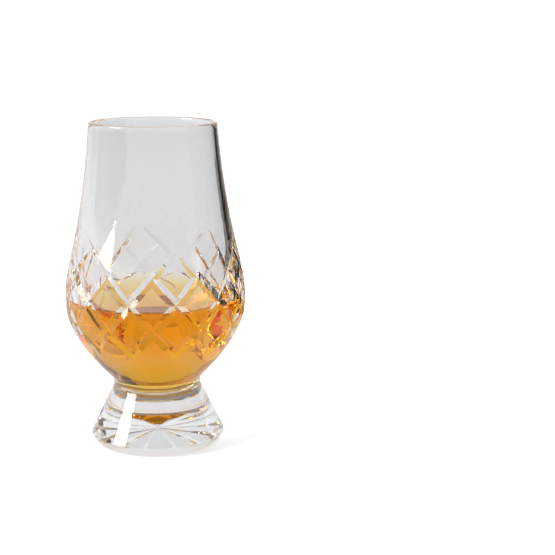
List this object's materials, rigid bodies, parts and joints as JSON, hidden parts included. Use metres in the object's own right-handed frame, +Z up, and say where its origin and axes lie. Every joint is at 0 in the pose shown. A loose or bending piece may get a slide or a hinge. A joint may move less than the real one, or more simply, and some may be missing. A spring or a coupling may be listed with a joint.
{
  "type": "footed tulip whisky glass",
  "caption": "Tulip-shaped crystal whisky glass on a solid flared foot, with a diamond-cut belt round the bowl, holding a measure of amber whisky.",
  "frame": {"origin": "centre of the underside of the foot, on the surface that the glass stands on", "axes": "+Z up along the glass's axis, from the foot to the rim; -Y is the side that the picture shows"},
  "size_m": [0.0638, 0.0638, 0.115],
  "materials": {
    "crystal_bowl": "polished clear crystal with bright-cut V grooves",
    "crystal_base": "polished clear crystal with a star cut underneath",
    "whisky": "clear amber liquid"
  },
  "bodies": {
    "root": {"bowl": "crystal_bowl", "base": "crystal_base", "whisky": "whisky"}
  },
  "joints": []
}
